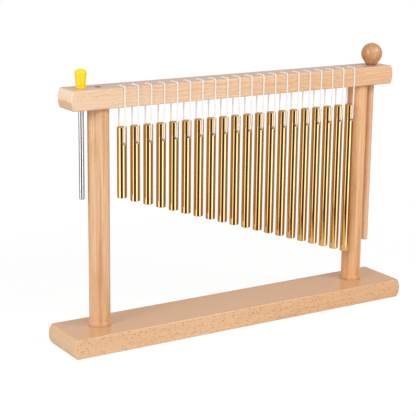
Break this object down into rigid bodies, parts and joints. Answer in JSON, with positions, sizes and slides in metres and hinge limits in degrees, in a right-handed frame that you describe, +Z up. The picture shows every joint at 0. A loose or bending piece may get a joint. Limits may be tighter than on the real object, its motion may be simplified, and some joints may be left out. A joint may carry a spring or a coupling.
{
  "type": "bar chimes",
  "caption": "Table bar chimes: tuned metal rods hang on cord loops under a wooden bar on posts over a base, with a metal beater and a wooden mallet stored in the bar.",
  "frame": {"origin": "middle of the base's underside, on the surface that the chimes stand on", "axes": "+X along the bar towards the long rods, -Y towards the player, +Z up"},
  "size_m": [0.415, 0.06, 0.2894],
  "materials": {
    "beech": "clear satin lacquer",
    "gold_rod": "polished, gold anodised",
    "white_cord": "braided",
    "polished_steel": "polished",
    "yellow_plastic": "moulded, soft gloss",
    "zinc_screw": "zinc plated"
  },
  "bodies": {
    "stand": {"base": "beech", "bar": "beech", "post_left": "beech", "post_right": "beech", "bar_screws": "zinc_screw", "base_screws": "zinc_screw", "cord_wraps": "white_cord"},
    "beater": {"beater_rod": "polished_steel", "beater_tip": "yellow_plastic"},
    "mallet": {"mallet_stick": "beech", "mallet_ball": "beech"},
    "cord_01": {"cord_loop_01": "white_cord"},
    "rod_01": {"chime_01": "gold_rod"},
    "cord_02": {"cord_loop_02": "white_cord"},
    "rod_02": {"chime_02": "gold_rod"},
    "cord_03": {"cord_loop_03": "white_cord"},
    "rod_03": {"chime_03": "gold_rod"},
    "cord_04": {"cord_loop_04": "white_cord"},
    "rod_04": {"chime_04": "gold_rod"},
    "cord_05": {"cord_loop_05": "white_cord"},
    "rod_05": {"chime_05": "gold_rod"},
    "cord_06": {"cord_loop_06": "white_cord"},
    "rod_06": {"chime_06": "gold_rod"},
    "cord_07": {"cord_loop_07": "white_cord"},
    "rod_07": {"chime_07": "gold_rod"},
    "cord_08": {"cord_loop_08": "white_cord"},
    "rod_08": {"chime_08": "gold_rod"},
    "cord_09": {"cord_loop_09": "white_cord"},
    "rod_09": {"chime_09": "gold_rod"},
    "cord_10": {"cord_loop_10": "white_cord"},
    "rod_10": {"chime_10": "gold_rod"},
    "cord_11": {"cord_loop_11": "white_cord"},
    "rod_11": {"chime_11": "gold_rod"},
    "cord_12": {"cord_loop_12": "white_cord"},
    "rod_12": {"chime_12": "gold_rod"},
    "cord_13": {"cord_loop_13": "white_cord"},
    "rod_13": {"chime_13": "gold_rod"},
    "cord_14": {"cord_loop_14": "white_cord"},
    "rod_14": {"chime_14": "gold_rod"},
    "cord_15": {"cord_loop_15": "white_cord"},
    "rod_15": {"chime_15": "gold_rod"},
    "cord_16": {"cord_loop_16": "white_cord"},
    "rod_16": {"chime_16": "gold_rod"},
    "cord_17": {"cord_loop_17": "white_cord"},
    "rod_17": {"chime_17": "gold_rod"},
    "cord_18": {"cord_loop_18": "white_cord"},
    "rod_18": {"chime_18": "gold_rod"},
    "cord_19": {"cord_loop_19": "white_cord"},
    "rod_19": {"chime_19": "gold_rod"},
    "cord_20": {"cord_loop_20": "white_cord"},
    "rod_20": {"chime_20": "gold_rod"}
  },
  "joints": [
    {"name": "beater_lift", "type": "slide", "parent": "stand", "child": "beater", "axis": [0, 0, 1], "range_m": [0, 0.115]},
    {"name": "mallet_lift", "type": "slide", "parent": "stand", "child": "mallet", "axis": [0, 0, 1], "range_m": [0, 0.205]},
    {"name": "swing_01", "type": "hinge", "parent": "stand", "child": "cord_01", "pos_m": [-0.14072, -0.00605, 0.245], "axis": [-1, 0, 0], "range_deg": [-25, 25], "deforming": ["cord_loop_01"]},
    {"name": "rock_01", "type": "hinge", "parent": "cord_01", "child": "rod_01", "pos_m": [-0.14072, -0.00605, 0.2099], "axis": [0, -1, 0], "range_deg": [-4.05, 4.05]},
    {"name": "swing_02", "type": "hinge", "parent": "stand", "child": "cord_02", "pos_m": [-0.12577, -0.00605, 0.245], "axis": [-1, 0, 0], "range_deg": [-25, 25], "deforming": ["cord_loop_02"]},
    {"name": "rock_02", "type": "hinge", "parent": "cord_02", "child": "rod_02", "pos_m": [-0.12577, -0.00605, 0.2099], "axis": [0, -1, 0], "range_deg": [-3.72, 3.72]},
    {"name": "swing_03", "type": "hinge", "parent": "stand", "child": "cord_03", "pos_m": [-0.11083, -0.00605, 0.245], "axis": [-1, 0, 0], "range_deg": [-25, 25], "deforming": ["cord_loop_03"]},
    {"name": "rock_03", "type": "hinge", "parent": "cord_03", "child": "rod_03", "pos_m": [-0.11083, -0.00605, 0.2099], "axis": [0, -1, 0], "range_deg": [-3.44, 3.44]},
    {"name": "swing_04", "type": "hinge", "parent": "stand", "child": "cord_04", "pos_m": [-0.09588, -0.00605, 0.245], "axis": [-1, 0, 0], "range_deg": [-25, 25], "deforming": ["cord_loop_04"]},
    {"name": "rock_04", "type": "hinge", "parent": "cord_04", "child": "rod_04", "pos_m": [-0.09588, -0.00605, 0.2099], "axis": [0, -1, 0], "range_deg": [-3.2, 3.2]},
    {"name": "swing_05", "type": "hinge", "parent": "stand", "child": "cord_05", "pos_m": [-0.08092, -0.00605, 0.245], "axis": [-1, 0, 0], "range_deg": [-25, 25], "deforming": ["cord_loop_05"]},
    {"name": "rock_05", "type": "hinge", "parent": "cord_05", "child": "rod_05", "pos_m": [-0.08092, -0.00605, 0.2099], "axis": [0, -1, 0], "range_deg": [-2.99, 2.99]},
    {"name": "swing_06", "type": "hinge", "parent": "stand", "child": "cord_06", "pos_m": [-0.06598, -0.00605, 0.245], "axis": [-1, 0, 0], "range_deg": [-25, 25], "deforming": ["cord_loop_06"]},
    {"name": "rock_06", "type": "hinge", "parent": "cord_06", "child": "rod_06", "pos_m": [-0.06598, -0.00605, 0.2099], "axis": [0, -1, 0], "range_deg": [-2.81, 2.81]},
    {"name": "swing_07", "type": "hinge", "parent": "stand", "child": "cord_07", "pos_m": [-0.05103, -0.00605, 0.245], "axis": [-1, 0, 0], "range_deg": [-25, 25], "deforming": ["cord_loop_07"]},
    {"name": "rock_07", "type": "hinge", "parent": "cord_07", "child": "rod_07", "pos_m": [-0.05103, -0.00605, 0.2099], "axis": [0, -1, 0], "range_deg": [-2.64, 2.64]},
    {"name": "swing_08", "type": "hinge", "parent": "stand", "child": "cord_08", "pos_m": [-0.03608, -0.00605, 0.245], "axis": [-1, 0, 0], "range_deg": [-25, 25], "deforming": ["cord_loop_08"]},
    {"name": "rock_08", "type": "hinge", "parent": "cord_08", "child": "rod_08", "pos_m": [-0.03608, -0.00605, 0.2099], "axis": [0, -1, 0], "range_deg": [-2.5, 2.5]},
    {"name": "swing_09", "type": "hinge", "parent": "stand", "child": "cord_09", "pos_m": [-0.02113, -0.00605, 0.245], "axis": [-1, 0, 0], "range_deg": [-25, 25], "deforming": ["cord_loop_09"]},
    {"name": "rock_09", "type": "hinge", "parent": "cord_09", "child": "rod_09", "pos_m": [-0.02113, -0.00605, 0.2099], "axis": [0, -1, 0], "range_deg": [-2.37, 2.37]},
    {"name": "swing_10", "type": "hinge", "parent": "stand", "child": "cord_10", "pos_m": [-0.00617, -0.00605, 0.245], "axis": [-1, 0, 0], "range_deg": [-25, 25], "deforming": ["cord_loop_10"]},
    {"name": "rock_10", "type": "hinge", "parent": "cord_10", "child": "rod_10", "pos_m": [-0.00617, -0.00605, 0.2099], "axis": [0, -1, 0], "range_deg": [-2.25, 2.25]},
    {"name": "swing_11", "type": "hinge", "parent": "stand", "child": "cord_11", "pos_m": [0.00877, -0.00605, 0.245], "axis": [-1, 0, 0], "range_deg": [-25, 25], "deforming": ["cord_loop_11"]},
    {"name": "rock_11", "type": "hinge", "parent": "cord_11", "child": "rod_11", "pos_m": [0.00877, -0.00605, 0.2099], "axis": [0, -1, 0], "range_deg": [-2.15, 2.15]},
    {"name": "swing_12", "type": "hinge", "parent": "stand", "child": "cord_12", "pos_m": [0.02372, -0.00605, 0.245], "axis": [-1, 0, 0], "range_deg": [-25, 25], "deforming": ["cord_loop_12"]},
    {"name": "rock_12", "type": "hinge", "parent": "cord_12", "child": "rod_12", "pos_m": [0.02372, -0.00605, 0.2099], "axis": [0, -1, 0], "range_deg": [-2.05, 2.05]},
    {"name": "swing_13", "type": "hinge", "parent": "stand", "child": "cord_13", "pos_m": [0.03868, -0.00605, 0.245], "axis": [-1, 0, 0], "range_deg": [-25, 25], "deforming": ["cord_loop_13"]},
    {"name": "rock_13", "type": "hinge", "parent": "cord_13", "child": "rod_13", "pos_m": [0.03868, -0.00605, 0.2099], "axis": [0, -1, 0], "range_deg": [-1.96, 1.96]},
    {"name": "swing_14", "type": "hinge", "parent": "stand", "child": "cord_14", "pos_m": [0.05362, -0.00605, 0.245], "axis": [-1, 0, 0], "range_deg": [-25, 25], "deforming": ["cord_loop_14"]},
    {"name": "rock_14", "type": "hinge", "parent": "cord_14", "child": "rod_14", "pos_m": [0.05362, -0.00605, 0.2099], "axis": [0, -1, 0], "range_deg": [-1.88, 1.88]},
    {"name": "swing_15", "type": "hinge", "parent": "stand", "child": "cord_15", "pos_m": [0.06857, -0.00605, 0.245], "axis": [-1, 0, 0], "range_deg": [-25, 25], "deforming": ["cord_loop_15"]},
    {"name": "rock_15", "type": "hinge", "parent": "cord_15", "child": "rod_15", "pos_m": [0.06857, -0.00605, 0.2099], "axis": [0, -1, 0], "range_deg": [-1.81, 1.81]},
    {"name": "swing_16", "type": "hinge", "parent": "stand", "child": "cord_16", "pos_m": [0.08353, -0.00605, 0.245], "axis": [-1, 0, 0], "range_deg": [-25, 25], "deforming": ["cord_loop_16"]},
    {"name": "rock_16", "type": "hinge", "parent": "cord_16", "child": "rod_16", "pos_m": [0.08353, -0.00605, 0.2099], "axis": [0, -1, 0], "range_deg": [-1.74, 1.74]},
    {"name": "swing_17", "type": "hinge", "parent": "stand", "child": "cord_17", "pos_m": [0.09847, -0.00605, 0.245], "axis": [-1, 0, 0], "range_deg": [-25, 25], "deforming": ["cord_loop_17"]},
    {"name": "rock_17", "type": "hinge", "parent": "cord_17", "child": "rod_17", "pos_m": [0.09847, -0.00605, 0.2099], "axis": [0, -1, 0], "range_deg": [-1.68, 1.68]},
    {"name": "swing_18", "type": "hinge", "parent": "stand", "child": "cord_18", "pos_m": [0.11342, -0.00605, 0.245], "axis": [-1, 0, 0], "range_deg": [-25, 25], "deforming": ["cord_loop_18"]},
    {"name": "rock_18", "type": "hinge", "parent": "cord_18", "child": "rod_18", "pos_m": [0.11342, -0.00605, 0.2099], "axis": [0, -1, 0], "range_deg": [-1.62, 1.62]},
    {"name": "swing_19", "type": "hinge", "parent": "stand", "child": "cord_19", "pos_m": [0.12837, -0.00605, 0.245], "axis": [-1, 0, 0], "range_deg": [-25, 25], "deforming": ["cord_loop_19"]},
    {"name": "rock_19", "type": "hinge", "parent": "cord_19", "child": "rod_19", "pos_m": [0.12837, -0.00605, 0.2099], "axis": [0, -1, 0], "range_deg": [-1.56, 1.56]},
    {"name": "swing_20", "type": "hinge", "parent": "stand", "child": "cord_20", "pos_m": [0.14333, -0.00605, 0.245], "axis": [-1, 0, 0], "range_deg": [-25, 25], "deforming": ["cord_loop_20"]},
    {"name": "rock_20", "type": "hinge", "parent": "cord_20", "child": "rod_20", "pos_m": [0.14333, -0.00605, 0.2099], "axis": [0, -1, 0], "range_deg": [-1.51, 1.51]}
  ]
}
